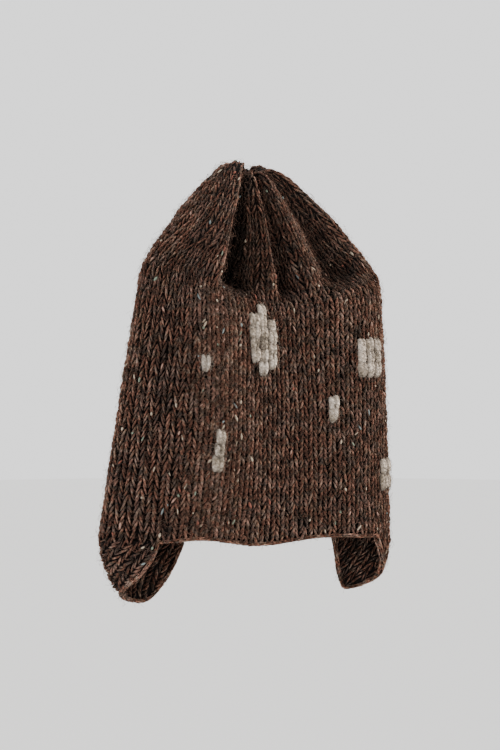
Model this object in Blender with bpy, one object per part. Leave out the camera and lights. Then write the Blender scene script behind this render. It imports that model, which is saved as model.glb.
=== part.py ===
# Knit hat with two ear flaps, hanging by its gathered crown and pressed nearly flat.
#
# Frame: metres, +Z up. The wearer's front faces -Y, and the layer at +Y hangs flat.
# The origin is the point of the crown that the hat hangs from.
#
# The cloth is knitted in vertical columns of stitches, so a place on it is a turn, the
# share of the way round, and a height. Turns run from the middle of the back past the
# left fold (-X), the front and the right fold (+X).

import math

import bmesh
import bpy
import numpy as np

# Sizes of the body
HAT_WIDTH = 0.207  # across the lower edge, fold to fold
HAT_DEPTH = 0.040  # from the flat back layer to the crest of the front ridge
MIDDLE_X = 0.0195  # the middle of the hat from the hanging point
BACK_Y = 0.012  # the back layer from the hanging point
CROWN_LINE_Z = -0.063  # where the crown starts, at its highest
CROWN_LINE_SAG = 0.023  # how much lower it starts in the middle of the front
RIM_Z = -0.2285  # lower edge of the body, at its highest
RIM_DIP = 0.0075  # how much lower it hangs at its lowest
SHOULDER_INSET = 0.0055  # the crown starts this far inside the body
SHOULDER_HEIGHT = 0.013  # and the body rounds over to it in this height
KNIT_WALL = 0.0045

# Sizes of the crown
TOP_Z = 0.0035  # top of the highest lobe
GATHER_X = 0.0155  # where the drawn-up end lies
GATHER_Y = 0.000
GATHER_Z = -0.0055
FOLD_DEPTH = 0.018  # of the deepest fold
GATHER_PLEATS = 12  # small pleats round the drawn-up end
GATHER_PLEAT_DEPTH = 0.0014

# Sizes of the flaps and the trim
FLAP_LENGTH = 0.044
FLAP_STEP = 0.0011  # straight edge at each side of a flap's root
FLAP_LEAN = 0.015  # how far the tip leans towards the middle of the hat
EDGE_THICKNESS = 0.0034
EDGE_WIDTH = 0.0056
EDGE_GAP = 0.0008  # between the rim and the cloth that it binds
MOTIF_RISE = 0.0022  # how far the pale stitches stand proud
MOTIF_ROUNDING = 0.5  # their borders stand this share of that
CROWN_GAP = 0.0006  # between the body and the crown that rises from it
PIECE_GAP = 0.0003

# How finely the pieces are faceted
SPANS_PER_FOLD = 6  # round the body and the crown
BODY_SPANS_UP = 5
SHOULDER_SPANS = 4
CROWN_SPANS_UP = 11
FLAP_SPANS_ACROSS = 22
FLAP_SPANS_DOWN = 4
EDGE_SPANS = 150
EDGE_SIDES = 8
MOTIF_SPANS_PER_TURN = 120
MOTIF_SPANS_PER_HEIGHT = 32

# Plan of the body. x is a share of HAT_WIDTH from the middle, and d a share of HAT_DEPTH
# from the back layer, each at the rim, half way up and at the crown line.
# dip is a share of RIM_DIP, sag of CROWN_LINE_SAG and inset of SHOULDER_INSET.
PLACES = (
    # name, turn, x rim, x half, x top, d rim, d half, d top, dip, sag, inset
    ("back_middle", 0.000, 0.00, 0.00, -0.01, 0.00, 0.00, 0.00, 0.3, 0.00, 0.0),
    ("back_half_left", 0.110, -0.24, -0.21, -0.18, 0.00, 0.00, 0.00, 0.2, 0.00, 0.0),
    ("back_left", 0.195, -0.43, -0.375, -0.32, 0.01, 0.02, 0.05, 0.2, 0.00, 0.2),
    ("left_fold", 0.245, -0.50, -0.435, -0.365, 0.35, 0.35, 0.36, 0.0, 0.00, 0.3),
    ("left_panel", 0.298, -0.42, -0.375, -0.32, 0.72, 0.71, 0.69, 0.3, 0.20, 0.3),
    ("front_ridge", 0.390, -0.22, -0.19, -0.19, 0.92, 1.00, 1.00, 0.2, 0.70, 0.1),
    ("hollow", 0.473, -0.04, -0.02, -0.02, 0.90, 0.88, 0.80, 1.0, 1.00, 0.7),
    ("front_middle", 0.569, 0.17, 0.17, 0.16, 0.86, 0.83, 0.80, 0.8, 0.85, 1.0),
    ("front_right", 0.692, 0.43, 0.415, 0.42, 0.74, 0.73, 0.66, 1.3, 0.25, 0.9),
    ("right_fold", 0.742, 0.50, 0.475, 0.465, 0.38, 0.38, 0.38, 1.4, 0.00, 0.5),
    ("back_right", 0.794, 0.43, 0.41, 0.42, 0.01, 0.02, 0.05, 0.8, 0.00, 0.3),
    ("back_half_right", 0.890, 0.24, 0.22, 0.20, 0.00, 0.00, 0.00, 0.4, 0.00, 0.0),
)

# Folds of the crown. low and high are how far the cloth moves towards the back, as shares
# of FOLD_DEPTH, low down and at the top. lift is a share of the height of the highest lobe
# over the drawn-up end.
FOLDS = (
    # name, turn, low, high, lift
    ("back_middle", 0.000, 0.00, 0.00, 0.8),
    ("back_left_valley", 0.090, -0.12, -0.08, 0.6),
    ("back_left_lobe", 0.160, 0.00, 0.00, 0.7),
    ("left_fold", 0.245, 0.00, 0.00, 0.9),
    ("left_lobe", 0.330, 0.00, 0.00, 1.0),
    ("left_lobe_edge", 0.390, -0.12, -0.10, 0.8),
    ("hollow_side", 0.416, 0.75, 0.75, 0.1),
    ("hollow_floor", 0.455, 1.00, 1.00, 0.0),
    ("first_fold", 0.508, -0.08, 0.10, 0.3),
    ("second_valley", 0.540, 0.55, 0.60, 0.0),
    ("second_fold", 0.590, 0.00, 0.10, 0.4),
    ("wide_valley", 0.650, 0.50, 0.55, 0.2),
    ("right_lobe", 0.716, 0.00, 0.00, 0.6),
    ("right_fold", 0.775, 0.00, 0.00, 0.6),
    ("back_right_lobe", 0.850, 0.00, 0.00, 0.7),
    ("back_right_valley", 0.925, -0.12, -0.08, 0.6),
)

# Profile of the crown, as shares of its width, its depth and its height
PROFILE = (
    # way, width, depth, height
    (0.00, 1.00, 1.00, 0.00),
    (0.15, 0.905, 1.00, 0.16),
    (0.32, 0.785, 0.97, 0.33),
    (0.50, 0.665, 0.89, 0.51),
    (0.66, 0.51, 0.77, 0.69),
    (0.80, 0.355, 0.61, 0.84),
    (0.90, 0.22, 0.42, 0.96),
    (0.96, 0.12, 0.24, 1.00),
    (1.00, 0.00, 0.00, 1.00),
)
DIP_REACH = 0.22  # the dip round the drawn-up end, as a share of the crown's width
FOLD_RAMP = 0.22  # the folds are full from this share of the way up
FOLD_FADE = 1.5  # and fade with the crown's depth, to this power
HOLLOW_RAMP = 0.08  # the hollow leaves the line of the body below within this
HOLLOW_CLOSES = 0.45  # the hollow starts to close at this share of the way
HOLLOW_END = 0.78  # and above this one the layers are pressed together
LAYER_GAP = 0.0006  # half the hollow's thickness at its end
FOLD_MIDDLE = 0.33  # where the side folds lie in the depth
FOLD_CLEAR_SPANS = 3  # the hollow keeps clear of a fold by this many spans round

# Ear flaps, between two turns. length is a share of FLAP_LENGTH, and fullness rounds the
# outline: 1 is a triangle and 2 a half ellipse.
FLAPS = (
    # name, first turn, last turn, turn of the tip, length, fullness
    ("ear_flap_left", 0.097, 0.325, 0.195, 0.93, 1.25),
    ("ear_flap_right", 0.688, 0.843, 0.770, 0.96, 1.45),
)

# Pale motifs. low and high are shares of the body's height at the left, middle and right
# of the motif.
MOTIFS = (
    # name, first turn, last turn, (low, high) at the left, middle and right
    ("motif_large", 0.450, 0.500, (0.74, 0.93), (0.68, 0.98), (0.70, 0.91)),
    ("motif_block", 0.642, 0.690, (0.650, 0.775), (0.640, 0.765), (0.630, 0.755)),
    ("motif_short", 0.591, 0.609, (0.475, 0.555), (0.475, 0.555), (0.475, 0.555)),
    ("motif_long", 0.390, 0.408, (0.27, 0.42), (0.27, 0.42), (0.27, 0.42)),
    ("motif_small", 0.366, 0.378, (0.65, 0.71), (0.65, 0.71), (0.65, 0.71)),
    ("motif_side", 0.688, 0.720, (0.18, 0.29), (0.18, 0.29), (0.18, 0.29)),
)

CLOTH_BROWN = (0.105, 0.052, 0.038)
EDGE_BROWN = (0.150, 0.078, 0.055)
YARN_PALE = (0.50, 0.43, 0.36)
YARN_ROUGHNESS = 0.9


def column(table, number):
    return np.array([row[number] for row in table], float)


def neighbours(turns, turn):
    """The knots before and after a turn on a closed row, and how far between them it is."""
    turn = np.asarray(turn, float) % 1
    before = (np.searchsorted(turns, turn, side="right") - 1) % len(turns)
    after = (before + 1) % len(turns)
    span = (turns[after] - turns[before]) % 1
    return before, after, span, ((turn - turns[before]) % 1) / span


def smooth_round(turns, values, turn):
    """Closed curve through the values whose slope and bend are both continuous."""
    before, after, span, t = neighbours(turns, turn)
    behind = 1 / ((turns - np.roll(turns, 1)) % 1)
    ahead = 1 / ((np.roll(turns, -1) - turns) % 1)
    count = len(turns)
    system = np.diag(2 * (behind + ahead))
    system[np.arange(count), np.arange(count) - 1] = behind
    system[np.arange(count), (np.arange(count) + 1) % count] = ahead
    rise = (values - np.roll(values, 1)) * behind**2 + (np.roll(values, -1) - values) * ahead**2
    slope = np.linalg.solve(system, 3 * rise)
    return (
        values[before] * (1 + 2 * t) * (1 - t) ** 2
        + slope[before] * span * t * (1 - t) ** 2
        + values[after] * t**2 * (3 - 2 * t)
        + slope[after] * span * t**2 * (t - 1)
    )


def ease(t):
    return t * t * (3 - 2 * t)


def crests_round(turns, values, turn):
    """Closed row of crests and valleys: level at each value and eased between them."""
    before, after, _, t = neighbours(turns, turn)
    return values[before] + (values[after] - values[before]) * ease(t)


def rising(knots, values, at):
    """Smooth curve through an open table, without overshoot."""
    widths = np.diff(knots)
    steps = np.diff(values) / widths
    product = np.maximum(steps[1:] * steps[:-1], 0)
    inner = 2 * product / np.maximum(np.abs(steps[1:] + steps[:-1]), 1e-9)
    inner = inner * np.sign(steps[1:])
    slope = np.concatenate([steps[:1], inner, steps[-1:]])
    index = np.clip(np.searchsorted(knots, at, side="right") - 1, 0, len(widths) - 1)
    t = (at - knots[index]) / widths[index]
    return (
        values[index] * (1 + 2 * t) * (1 - t) ** 2
        + slope[index] * widths[index] * t * (1 - t) ** 2
        + values[index + 1] * t**2 * (3 - 2 * t)
        + slope[index + 1] * widths[index] * t**2 * (t - 1)
    )


def through_levels(numbers, turn, height):
    """Three columns of PLACES joined by a smooth bend. height is 0 at the rim, 1 at the crown."""
    turns = column(PLACES, 1)
    rim, half, top = (smooth_round(turns, column(PLACES, n), turn) for n in numbers)
    bend = 2 * (rim - 2 * half + top)
    return rim + (top - rim - bend) * height + bend * height**2


def plan(turn, height):
    """Outer plan of the body, as x and y."""
    x = MIDDLE_X + HAT_WIDTH * through_levels((2, 3, 4), turn, height)
    y = BACK_Y - HAT_DEPTH * through_levels((5, 6, 7), turn, height)
    return x, y


def outwards(turn, height):
    """Direction out of the body in plan."""
    step = 0.004
    x_before, y_before = plan(turn - step, height)
    x_after, y_after = plan(turn + step, height)
    along_x, along_y = x_after - x_before, y_after - y_before
    length = np.hypot(along_x, along_y)
    return along_y / length, -along_x / length


def place_share(number, turn):
    return smooth_round(column(PLACES, 1), column(PLACES, number), turn)


def rim_z(turn):
    return RIM_Z - RIM_DIP * place_share(8, turn)


def crown_line_z(turn):
    return CROWN_LINE_Z - CROWN_LINE_SAG * place_share(9, turn)


def body_point(turn, height, inset=0.0):
    """A point of the body, inset from its outer surface. height may go below 0, at a flap."""
    low, high = rim_z(turn), crown_line_z(turn)
    z = low + (high - low) * height
    over = np.clip((z - high + SHOULDER_HEIGHT) / SHOULDER_HEIGHT, 0, 1)
    rounding = SHOULDER_INSET * place_share(10, turn) * (1 - np.sqrt(1 - over**2))
    x, y = plan(turn, height)
    out_x, out_y = outwards(turn, height)
    depth = inset + rounding
    return np.stack([x - out_x * depth, y - out_y * depth, z], axis=-1)


def crown_start(turn):
    """Where the crown leaves the body, and how wide, deep and high the crown is over it."""
    return np.moveaxis(body_point(turn, np.ones_like(turn)), -1, 0)


def crown_point(turn, way):
    """A point of the crown's outer surface. way is 0 at the crown line and 1 at the end."""
    width, depth, rise = (rising(column(PROFILE, 0), column(PROFILE, n), way) for n in (1, 2, 3))
    turns = column(FOLDS, 1)
    low, high, lift = (crests_round(turns, column(FOLDS, n), turn) for n in (2, 3, 4))
    fold = (low + (high - low) * rise) * ease(np.clip(way / FOLD_RAMP, 0, 1))
    start_x, start_y, start_z = crown_start(turn)
    pleat = np.sin(2 * math.pi * GATHER_PLEATS * turn) * depth * (1 - width)
    x = GATHER_X + (start_x - GATHER_X) * width
    y = GATHER_Y + (start_y - GATHER_Y) * depth
    y = y + FOLD_DEPTH * fold * depth**FOLD_FADE + GATHER_PLEAT_DEPTH * pleat
    peak = (TOP_Z - GATHER_Z) * lift
    dip = ease(np.clip(1 - width / DIP_REACH, 0, 1))
    low_z = start_z + CROWN_GAP
    z = low_z + (GATHER_Z + peak - low_z) * rise - peak * dip
    return np.stack([x, y, z], axis=-1)


def crown_hollow_point(turn, way):
    """The same for its inner surface, which closes to a slot where the layers meet."""
    depth, rise = (rising(column(PROFILE, 0), column(PROFILE, n), way) for n in (2, 3))
    outer = crown_point(turn, way)
    start_x, start_y, start_z = crown_start(turn)
    aside = outer[..., 0] - GATHER_X
    reach = np.abs(aside)
    right_reach = aside.max(axis=-1, keepdims=True)
    left_reach = -aside.min(axis=-1, keepdims=True)
    side_reach = np.where(aside > 0, right_reach, left_reach)
    narrowing = 1 - KNIT_WALL / side_reach
    closing = ease(np.clip((way - HOLLOW_CLOSES) / (HOLLOW_END - HOLLOW_CLOSES), 0, 1))
    middle = GATHER_Y + (BACK_Y - GATHER_Y) * depth - KNIT_WALL - LAYER_GAP
    fold_y = GATHER_Y + (BACK_Y - HAT_DEPTH * FOLD_MIDDLE - GATHER_Y) * depth
    middle = middle + (fold_y - middle) * (reach / side_reach) ** 4 * (1 - closing)
    front = start_y < BACK_Y - HAT_DEPTH * FOLD_MIDDLE
    spread = range(-FOLD_CLEAR_SPANS, FOLD_CLEAR_SPANS + 1)
    around = np.stack([np.roll(outer[..., 1], shift, axis=-1) for shift in spread])
    front_y = np.minimum(around.max(axis=0) + KNIT_WALL, middle - LAYER_GAP)
    front_y = front_y + (middle - LAYER_GAP - front_y) * closing
    back_y = np.maximum(around.min(axis=0) - KNIT_WALL, middle + LAYER_GAP)
    back_y = back_y + (middle + LAYER_GAP - back_y) * closing
    x = GATHER_X + aside * narrowing
    low_z = start_z + CROWN_GAP
    z = low_z + (GATHER_Z - KNIT_WALL - low_z) * rise
    hollow = np.stack([x, np.where(front, front_y, back_y), z], axis=-1)
    seat = body_point(turn, np.ones_like(turn), KNIT_WALL)
    leaving = ease(np.clip(way / HOLLOW_RAMP, 0, 1))[..., None]
    lifted = np.stack([seat[..., 0], seat[..., 1], z], axis=-1)
    return lifted + (hollow - lifted) * leaving


def flap_shape(first, last, tip, fullness, across):
    """Length of a flap at a share of the way across it, as a share of its full length."""
    peak = (tip - first) / (last - first)
    side = np.where(across < peak, (peak - across) / peak, (across - peak) / (1 - peak))
    return (1 - np.clip(side, 0, 1) ** fullness) ** (1 / fullness)


def flap_drop(row, turn):
    """How far the cloth hangs below the rim at a turn of a flap."""
    _, first, last, tip, length, fullness = row
    across = (turn - first) / (last - first)
    shape = flap_shape(first, last, tip, fullness, across)
    return FLAP_STEP + (FLAP_LENGTH * length - FLAP_STEP) * shape


def flap_point(turn, down, inset=0.0):
    """A point of a flap. down is the distance below the rim."""
    point = body_point(turn, np.zeros_like(turn), inset)
    lean = FLAP_LEAN * (down / FLAP_LENGTH) ** 2
    point[..., 0] += np.where(turn < 0.5, lean, -lean)
    point[..., 2] -= down
    return point


def material(name, colour):
    made = bpy.data.materials.new(name)
    made.use_nodes = True
    shader = made.node_tree.nodes["Principled BSDF"]
    shader.inputs["Base Color"].default_value = (*colour, 1)
    shader.inputs["Roughness"].default_value = YARN_ROUGHNESS
    shader.inputs["Metallic"].default_value = 0
    made.diffuse_color = (*colour, 1)
    return made


def add_object(name, made, finish):
    """Puts a finished bmesh into the scene as a named object."""
    bmesh.ops.recalc_face_normals(made, faces=made.faces)
    mesh = bpy.data.meshes.new(name)
    made.to_mesh(mesh)
    made.free()
    mesh.materials.append(finish)
    mesh.shade_smooth()
    added = bpy.data.objects.new(name, mesh)
    bpy.context.scene.collection.objects.link(added)
    return added


def grid_of(made, points):
    return [[made.verts.new(point) for point in row] for row in points]


def skin(made, grid, closed):
    """Faces between the rows of a grid of vertices."""
    for lower, upper in zip(grid, grid[1:]):
        bridge(made, lower, upper, closed)


def bridge(made, lower, upper, closed):
    count = len(lower)
    for here in range(count if closed else count - 1):
        after = (here + 1) % count
        made.faces.new((lower[here], lower[after], upper[after], upper[here]))


def tube_wall(name, outer, inner, finish):
    """A closed-round wall between two grids, open at both ends."""
    made = bmesh.new()
    outer, inner = grid_of(made, outer), grid_of(made, inner)
    skin(made, outer, True)
    skin(made, inner[::-1], True)
    bridge(made, inner[0], outer[0], True)
    bridge(made, outer[-1], inner[-1], True)
    return add_object(name, made, finish)


def dome_wall(name, outer, inner, finish):
    """A closed-round wall whose last row is drawn together at one point."""
    made = bmesh.new()
    tops = [made.verts.new(points[-1].mean(axis=0)) for points in (outer, inner)]
    outer, inner = grid_of(made, outer[:-1]), grid_of(made, inner[:-1])
    skin(made, outer, True)
    skin(made, inner[::-1], True)
    bridge(made, inner[0], outer[0], True)
    for ring, top in ((outer[-1], tops[0]), (inner[-1], tops[1])):
        for here in range(len(ring)):
            made.faces.new((ring[here], ring[(here + 1) % len(ring)], top))
    return add_object(name, made, finish)


def sheet_wall(name, outer, inner, finish):
    """A four-sided wall between two grids."""
    made = bmesh.new()
    outer, inner = grid_of(made, outer), grid_of(made, inner)
    skin(made, outer, False)
    skin(made, inner[::-1], False)
    for side in (lambda grid: grid[0], lambda grid: grid[-1]):
        bridge(made, side(inner), side(outer), False)
    for side in (0, -1):
        bridge(made, [row[side] for row in outer], [row[side] for row in inner], False)
    return add_object(name, made, finish)


def turns_round():
    """Turns at which the body and the crown are faceted, closer together where folds are."""
    knots = np.append(column(FOLDS, 1), 1.0)
    shares = np.arange(SPANS_PER_FOLD) / SPANS_PER_FOLD
    return (knots[:-1, None] + np.diff(knots)[:, None] * shares).ravel()


def build_body(finish):
    turns = turns_round()
    shoulder = 1 - SHOULDER_HEIGHT / (crown_line_z(turns) - rim_z(turns))
    below = np.linspace(0, 1, BODY_SPANS_UP + 1)[:, None] * shoulder
    over = np.sin(np.linspace(0, math.pi / 2, SHOULDER_SPANS + 1)[1:])[:, None]
    height = np.concatenate([below, shoulder + (1 - shoulder) * over])
    turn = np.broadcast_to(turns, height.shape)
    return tube_wall("body", body_point(turn, height), body_point(turn, height, KNIT_WALL), finish)


def build_crown(finish):
    ways = 1 - (1 - np.linspace(0, 1, CROWN_SPANS_UP + 1)) ** 1.5
    turn, way = np.meshgrid(turns_round(), ways)
    outer = crown_point(turn, way)
    inner = crown_hollow_point(turn, way * HOLLOW_END)
    inner[-1] = (GATHER_X, inner[-2, :, 1].mean(), GATHER_Z - 2 * KNIT_WALL)
    return dome_wall("crown", outer, inner, finish)


def build_flap(row, finish):
    name, first, last = row[:3]
    across = (1 - np.cos(np.linspace(0, math.pi, FLAP_SPANS_ACROSS + 1))) / 2
    turn, share = np.meshgrid(first + (last - first) * across, np.linspace(1, 0, FLAP_SPANS_DOWN + 1))
    down = PIECE_GAP + (flap_drop(row, turn) - PIECE_GAP) * share
    outer, inner = flap_point(turn, down), flap_point(turn, down, KNIT_WALL)
    return sheet_wall(name, outer, inner, finish)


def edge_route():
    """Turns and drops of the lower edge, evenly spaced round the opening and the flaps."""
    turns = np.arange(0, 1, 0.001)
    drops = np.zeros_like(turns)
    for row in FLAPS:
        inside = (turns > row[1]) & (turns < row[2])
        drops[inside] = flap_drop(row, turns[inside])
    turns, drops = np.append(turns, 1.0), np.append(drops, 0.0)
    places = flap_point(turns, drops, KNIT_WALL / 2)
    travel = np.append(0, np.cumsum(np.linalg.norm(np.diff(places, axis=0), axis=1)))
    even = np.linspace(0, travel[-1], EDGE_SPANS + 1)[:-1]
    return np.interp(even, travel, turns), np.interp(even, travel, drops)


def build_edge(finish):
    made = bmesh.new()
    turns, drops = edge_route()
    centres = flap_point(turns, drops, KNIT_WALL / 2)
    tangents = np.roll(centres, -2, axis=0) - np.roll(centres, 2, axis=0)
    tangents /= np.linalg.norm(tangents, axis=1)[:, None]
    outs = np.stack([*outwards(turns, 0.0), np.zeros_like(turns)], axis=-1)
    belows = np.cross(tangents, outs)
    middles = centres + belows * (EDGE_GAP + EDGE_THICKNESS / 2)
    angles = 2 * math.pi * (np.arange(EDGE_SIDES) + 0.5) / EDGE_SIDES
    rings = []
    for middle, out, below in zip(middles, outs, belows):
        ring = [
            middle + out * math.sin(angle) * EDGE_WIDTH / 2 + below * math.cos(angle) * EDGE_THICKNESS / 2
            for angle in angles
        ]
        rings.append([made.verts.new(point) for point in ring])
    skin(made, rings + rings[:1], True)
    return add_object("bound_edge", made, finish)


def build_motif(row, finish):
    name, first, last, *spans = row
    lows, highs = np.array(spans).T
    across = np.linspace(0, 1, max(3, round((last - first) * MOTIF_SPANS_PER_TURN)) + 1)
    low, high = (np.interp(across, (0, 0.5, 1), values) for values in (lows, highs))
    rows = max(3, round((highs - lows).max() * MOTIF_SPANS_PER_HEIGHT))
    share = np.linspace(0, 1, rows + 1)[:, None]
    height = low + (high - low) * share
    turn = np.broadcast_to(first + (last - first) * across, height.shape)
    rise = np.full(height.shape, MOTIF_RISE)
    for border in (rise[0], rise[-1], rise[:, 0], rise[:, -1]):
        border[:] = MOTIF_RISE * MOTIF_ROUNDING
    inner = body_point(turn, height, -PIECE_GAP)
    outer = body_point(turn, height, -PIECE_GAP - rise)
    return sheet_wall(name, outer, inner, finish)


def build_hat():
    for old in list(bpy.data.objects):
        bpy.data.objects.remove(old)
    brown = material("brown_tweed_knit", CLOTH_BROWN)
    bound = material("brown_bound_off_edge", EDGE_BROWN)
    pale = material("pale_yarn", YARN_PALE)
    build_body(brown)
    build_crown(brown)
    for row in FLAPS:
        build_flap(row, brown)
    build_edge(bound)
    for row in MOTIFS:
        build_motif(row, pale)


build_hat()
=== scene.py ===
import math

import bpy
import numpy as np
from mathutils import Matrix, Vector


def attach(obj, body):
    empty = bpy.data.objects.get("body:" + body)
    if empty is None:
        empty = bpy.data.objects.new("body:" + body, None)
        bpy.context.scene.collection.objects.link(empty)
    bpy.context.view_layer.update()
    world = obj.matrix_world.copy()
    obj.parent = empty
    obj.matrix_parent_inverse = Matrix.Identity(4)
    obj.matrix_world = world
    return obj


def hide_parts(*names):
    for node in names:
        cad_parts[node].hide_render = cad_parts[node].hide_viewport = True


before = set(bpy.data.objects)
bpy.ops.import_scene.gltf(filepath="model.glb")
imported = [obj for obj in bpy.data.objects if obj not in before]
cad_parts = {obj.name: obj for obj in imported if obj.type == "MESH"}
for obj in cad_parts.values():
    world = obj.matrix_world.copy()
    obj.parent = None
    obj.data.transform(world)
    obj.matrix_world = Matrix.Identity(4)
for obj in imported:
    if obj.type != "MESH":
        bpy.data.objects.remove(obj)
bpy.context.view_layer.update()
bpy.ops.object.select_all(action="DESELECT")
print("frame loaded:", len(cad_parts), "solids")

# The form of the hat, in metres. Turns run round the cloth from the middle of the back past
# the left fold, the front and the right fold.
hat = {
    "width": 0.207,  # across the lower edge, fold to fold
    "depth": 0.040,  # from the flat back layer to the crest of the front ridge
    "middleX": 0.0195,  # the middle of the hat from the hanging point
    "backY": 0.012,
    "crownLineZ": -0.063,  # where the crown starts, at its highest
    "crownLineSag": 0.023,  # how much lower it starts in the middle of the front
    "rimZ": -0.2285,  # lower edge of the body, at its highest
    "rimDip": 0.0075,
    "shoulderInset": 0.0055,  # the crown starts this far inside the body
    "shoulderHeight": 0.013,  # and the body rounds over to it in this height
    "wall": 0.0045,
    "topZ": 0.0035,  # top of the highest lobe
    "gatherX": 0.0155,  # where the drawn-up end lies
    "gatherY": 0.0,
    "gatherZ": -0.0055,
    "foldDepth": 0.018,
    "foldFade": 1.5,  # the folds fade with the crown's depth, to this power
    "foldRamp": 0.13,  # and are full from this share of the way up
    "dipReach": 0.22,  # the dip round the drawn-up end, as a share of the crown's width
    "pleats": 12,  # small pleats round the drawn-up end
    "pleatDepth": 0.0014,
    "flapLength": 0.044,
    "flapStep": 0.0011,  # straight edge at each side of a flap's root
}

# Plan of the body: x in widths from the middle and d in depths from the back layer, each at
# the rim, half way up and at the crown line. The last three are shares of the values above.
places = (
    # turn, x rim, x half, x top, d rim, d half, d top, dip, sag, inset
    (0.000, 0.00, 0.00, -0.01, 0.00, 0.00, 0.00, 0.3, 0.00, 0.0),
    (0.110, -0.24, -0.21, -0.18, 0.00, 0.00, 0.00, 0.2, 0.00, 0.0),
    (0.195, -0.43, -0.375, -0.32, 0.01, 0.02, 0.05, 0.2, 0.00, 0.2),
    (0.245, -0.50, -0.435, -0.365, 0.35, 0.35, 0.36, 0.0, 0.00, 0.3),
    (0.298, -0.42, -0.375, -0.32, 0.72, 0.71, 0.69, 0.3, 0.20, 0.3),
    (0.390, -0.22, -0.19, -0.19, 0.92, 1.00, 1.00, 0.2, 0.70, 0.1),
    (0.473, -0.04, -0.02, -0.02, 0.90, 0.88, 0.80, 1.0, 1.00, 0.7),
    (0.569, 0.17, 0.17, 0.16, 0.86, 0.83, 0.80, 0.8, 0.85, 1.0),
    (0.692, 0.43, 0.425, 0.42, 0.74, 0.73, 0.66, 1.3, 0.25, 0.9),
    (0.742, 0.505, 0.487, 0.463, 0.38, 0.38, 0.38, 1.4, 0.00, 0.5),
    (0.794, 0.43, 0.41, 0.42, 0.01, 0.02, 0.05, 0.8, 0.00, 0.3),
    (0.890, 0.24, 0.22, 0.20, 0.00, 0.00, 0.00, 0.4, 0.00, 0.0),
)

# Folds of the crown: how far the cloth lies towards the back, in fold depths, low down and at
# the top. lift is a share of the height of the highest lobe.
folds = (
    # turn, low, high, lift
    (0.000, 0.00, 0.00, 0.8),
    (0.090, -0.12, -0.08, 0.6),
    (0.160, 0.00, 0.00, 0.8),
    (0.245, 0.00, 0.00, 0.9),
    (0.330, 0.00, 0.00, 1.0),
    (0.393, -0.14, -0.14, 0.8),
    (0.412, 0.90, 1.05, 0.1),
    (0.438, 1.40, 1.40, 0.0),
    (0.474, 0.38, 0.55, 0.1),
    (0.510, -0.12, 0.00, 0.3),
    (0.536, 0.95, 0.90, 0.0),
    (0.585, 0.00, 0.05, 0.4),
    (0.640, 0.85, 0.90, 0.2),
    (0.716, -0.05, -0.05, 0.7),
    (0.775, 0.00, 0.00, 0.8),
    (0.850, 0.00, 0.00, 1.1),
    (0.925, -0.12, -0.08, 0.7),
)

# Profile of the crown, as shares of its width, its depth and its height
crownProfile = (
    # way, width, depth, height
    (0.00, 1.00, 1.00, 0.00),
    (0.15, 0.905, 1.00, 0.16),
    (0.32, 0.785, 0.97, 0.33),
    (0.50, 0.665, 0.89, 0.51),
    (0.66, 0.51, 0.77, 0.69),
    (0.80, 0.380, 0.62, 0.84),
    (0.90, 0.25, 0.44, 0.96),
    (0.96, 0.14, 0.26, 1.00),
    (1.00, 0.00, 0.00, 1.00),
)

# Ear flaps, between two turns. A fullness of 1 is a triangle and 2 a half ellipse
flaps = {
    # first turn, last turn, turn of the tip, length, fullness, lean
    "ear_flap_left": (0.097, 0.325, 0.195, 0.93, 1.50, 0.0195),
    "ear_flap_right": (0.688, 0.843, 0.788, 0.93, 1.22, 0.016),
}


def tableColumn(table, number):
    return np.array([row[number] for row in table], float)


def ease(t):
    return t * t * (3 - 2 * t)


# The knots before and after a turn, and how far the turn lies between them
def between(turns, turn):
    turn = np.asarray(turn, float) % 1
    before = (np.searchsorted(turns, turn, side="right") - 1) % len(turns)
    after = (before + 1) % len(turns)
    span = (turns[after] - turns[before]) % 1
    return before, after, span, ((turn - turns[before]) % 1) / span


# Smooth curve all round the hat, through a value at each knot
def closedCurve(turns, values, turn):
    before, after, span, t = between(turns, turn)
    behind = 1 / ((turns - np.roll(turns, 1)) % 1)
    ahead = 1 / ((np.roll(turns, -1) - turns) % 1)
    count = len(turns)
    system = np.diag(2 * (behind + ahead))
    system[np.arange(count), np.arange(count) - 1] = behind
    system[np.arange(count), (np.arange(count) + 1) % count] = ahead
    rise = (values - np.roll(values, 1)) * behind**2 + (np.roll(values, -1) - values) * ahead**2
    slope = np.linalg.solve(system, 3 * rise)
    return (
        values[before] * (1 + 2 * t) * (1 - t) ** 2
        + slope[before] * span * t * (1 - t) ** 2
        + values[after] * t**2 * (3 - 2 * t)
        + slope[after] * span * t**2 * (t - 1)
    )


# The same with a level crest or valley at each knot
def crests(turns, values, turn):
    before, after, _, t = between(turns, turn)
    return values[before] + (values[after] - values[before]) * ease(t)


# Curve from end to end that never overshoots its values
def openCurve(knots, values, at):
    widths = np.diff(knots)
    steps = np.diff(values) / widths
    product = np.maximum(steps[1:] * steps[:-1], 0)
    inner = 2 * product / np.maximum(np.abs(steps[1:] + steps[:-1]), 1e-9) * np.sign(steps[1:])
    slope = np.concatenate([steps[:1], inner, steps[-1:]])
    index = np.clip(np.searchsorted(knots, at, side="right") - 1, 0, len(widths) - 1)
    t = (at - knots[index]) / widths[index]
    return (
        values[index] * (1 + 2 * t) * (1 - t) ** 2
        + slope[index] * widths[index] * t * (1 - t) ** 2
        + values[index + 1] * t**2 * (3 - 2 * t)
        + slope[index + 1] * widths[index] * t**2 * (t - 1)
    )


# Parabola through the values at the rim, half way up and at the crown line
def levels(numbers, turn, height):
    turns = tableColumn(places, 0)
    rim, half, top = (closedCurve(turns, tableColumn(places, n), turn) for n in numbers)
    bend = 2 * (rim - 2 * half + top)
    return rim + (top - rim - bend) * height + bend * height**2


def planOf(turn, height):
    x = hat["middleX"] + hat["width"] * levels((1, 2, 3), turn, height)
    y = hat["backY"] - hat["depth"] * levels((4, 5, 6), turn, height)
    return x, y


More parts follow.
